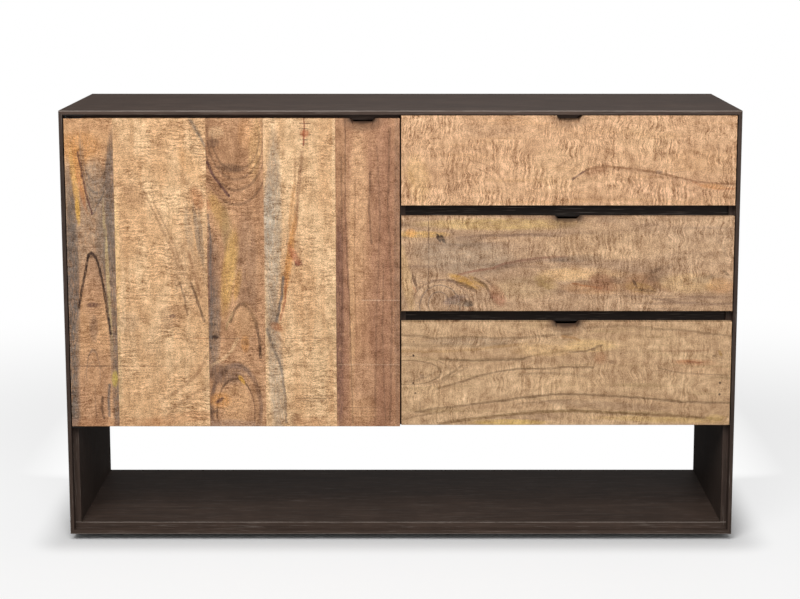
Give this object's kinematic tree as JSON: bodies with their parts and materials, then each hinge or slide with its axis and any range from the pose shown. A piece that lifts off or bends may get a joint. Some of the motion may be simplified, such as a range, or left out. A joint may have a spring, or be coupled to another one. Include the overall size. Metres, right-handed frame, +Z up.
{
  "type": "sideboard buffet",
  "caption": "Low sideboard with a dark mitred frame, a plank door, a stack of drawers with finger pulls and an open shelf space below.",
  "frame": {"origin": "centre of the footprint, on the floor under the feet", "axes": "+X to the right along the width, -Y out of the front, +Z up"},
  "size_m": [1.4, 0.4, 0.915],
  "materials": {
    "dark_stained_wood": "dark stain under a thin matt lacquer, fine scratches",
    "mango_wood": "figured mango wood with saw marks, matt lacquer",
    "drawer_box_wood": "planed softwood, clear matt",
    "dowel_wood": "bare beech",
    "back_board": "dark stained board",
    "zinc_steel": "zinc plated",
    "black_steel": "black finish",
    "foot_plastic": "black glide",
    "catch_plastic": "brown plastic"
  },
  "bodies": {
    "cabinet": {"top_board": "dark_stained_wood", "bottom_board": "dark_stained_wood", "left_side": "dark_stained_wood", "right_side": "dark_stained_wood", "mitre_splines": "dowel_wood", "cabinet_floor": "dark_stained_wood", "centre_partition": "dark_stained_wood", "back_panel": "back_board", "upper_divider_rail": "dark_stained_wood", "lower_divider_rail": "dark_stained_wood", "frame_dowels": "dowel_wood", "back_panel_screws": "zinc_steel", "door_bay_shelf": "dark_stained_wood", "shelf_pins": "zinc_steel", "feet": "foot_plastic", "foot_screws": "zinc_steel", "top_pivot_plate": "black_steel", "bottom_pivot_plate": "black_steel", "pivot_plate_screws": "zinc_steel", "magnet_catch": "catch_plastic", "catch_screws": "zinc_steel", "outer_rails": "zinc_steel"},
    "door": {"door_plank_1": "mango_wood", "door_plank_2": "mango_wood", "door_plank_3": "mango_wood", "door_plank_4": "mango_wood", "door_plank_5": "mango_wood", "door_battens": "mango_wood", "batten_screws": "zinc_steel", "pivot_shoes": "zinc_steel", "shoe_screws": "zinc_steel", "strike_plate": "zinc_steel", "strike_screw": "zinc_steel"},
    "drawer_1": {"drawer_1_front_upper": "mango_wood", "drawer_1_front_lower": "mango_wood", "drawer_1_left_side": "drawer_box_wood", "drawer_1_right_side": "drawer_box_wood", "drawer_1_rear": "drawer_box_wood", "drawer_1_bottom": "back_board", "drawer_1_dowels": "dowel_wood", "drawer_1_inner_rails": "zinc_steel"},
    "drawer_1_middle": {"drawer_1_middle_rails": "zinc_steel"},
    "drawer_2": {"drawer_2_front": "mango_wood", "drawer_2_left_side": "drawer_box_wood", "drawer_2_right_side": "drawer_box_wood", "drawer_2_rear": "drawer_box_wood", "drawer_2_bottom": "back_board", "drawer_2_dowels": "dowel_wood", "drawer_2_inner_rails": "zinc_steel"},
    "drawer_2_middle": {"drawer_2_middle_rails": "zinc_steel"},
    "drawer_3": {"drawer_3_front": "mango_wood", "drawer_3_left_side": "drawer_box_wood", "drawer_3_right_side": "drawer_box_wood", "drawer_3_rear": "drawer_box_wood", "drawer_3_bottom": "back_board", "drawer_3_dowels": "dowel_wood", "drawer_3_inner_rails": "zinc_steel"},
    "drawer_3_middle": {"drawer_3_middle_rails": "zinc_steel"}
  },
  "joints": [
    {"name": "door_hinge", "type": "hinge", "parent": "cabinet", "child": "door", "pos_m": [-0.686, -0.196, 0.5], "axis": [0, 0, -1], "range_deg": [0, 100]},
    {"name": "drawer_1_slide", "type": "slide", "parent": "cabinet", "child": "drawer_1", "axis": [0, -1, 0], "range_m": [0, 0.3]},
    {"name": "drawer_1_middle_slide", "type": "slide", "parent": "cabinet", "child": "drawer_1_middle", "axis": [0, -1, 0], "range_m": [0, 0.15]},
    {"name": "drawer_2_slide", "type": "slide", "parent": "cabinet", "child": "drawer_2", "axis": [0, -1, 0], "range_m": [0, 0.3]},
    {"name": "drawer_2_middle_slide", "type": "slide", "parent": "cabinet", "child": "drawer_2_middle", "axis": [0, -1, 0], "range_m": [0, 0.15]},
    {"name": "drawer_3_slide", "type": "slide", "parent": "cabinet", "child": "drawer_3", "axis": [0, -1, 0], "range_m": [0, 0.3]},
    {"name": "drawer_3_middle_slide", "type": "slide", "parent": "cabinet", "child": "drawer_3_middle", "axis": [0, -1, 0], "range_m": [0, 0.15]}
  ],
  "couplings": [
    {"joint": "drawer_1_middle_slide", "follows": "drawer_1_slide", "ratio": 0.5},
    {"joint": "drawer_2_middle_slide", "follows": "drawer_2_slide", "ratio": 0.5},
    {"joint": "drawer_3_middle_slide", "follows": "drawer_3_slide", "ratio": 0.5}
  ]
}
